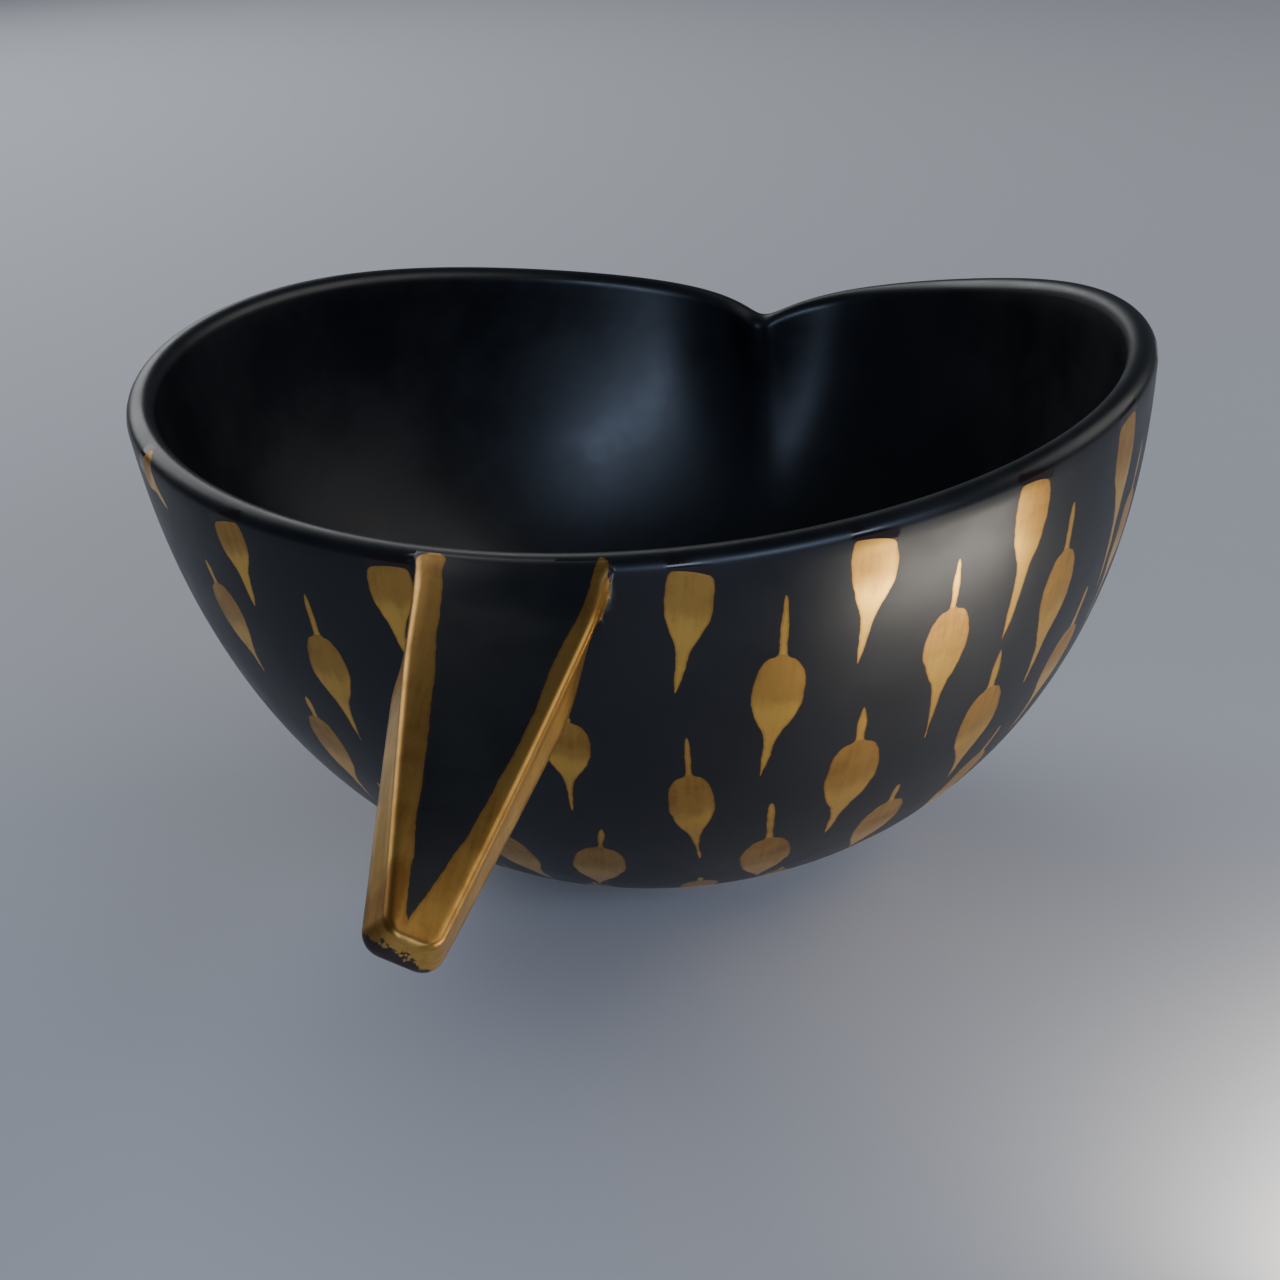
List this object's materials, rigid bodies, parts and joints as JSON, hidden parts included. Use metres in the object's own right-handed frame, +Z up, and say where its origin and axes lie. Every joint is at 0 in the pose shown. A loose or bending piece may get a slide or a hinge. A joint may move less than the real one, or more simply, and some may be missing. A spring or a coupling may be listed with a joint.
{
  "type": "ceramic bowl",
  "caption": "Deep round glazed ceramic bowl with a rim pinched to a notch at the back and a flat tapered tongue handle sloping down from the front of the rim.",
  "frame": {"origin": "centre of the flat underside of the foot, on the surface that the bowl stands on", "axes": "+Z up; the handle points toward -Y and the notch in the rim is at +Y; +X is to the right when facing the bowl from its handle side"},
  "size_m": [0.2106, 0.2755, 0.1169],
  "materials": {
    "glaze": "satin black glaze with brushed gold lustre drops and gold handle edges"
  },
  "bodies": {
    "root": {"bowl": "glaze"}
  },
  "joints": []
}
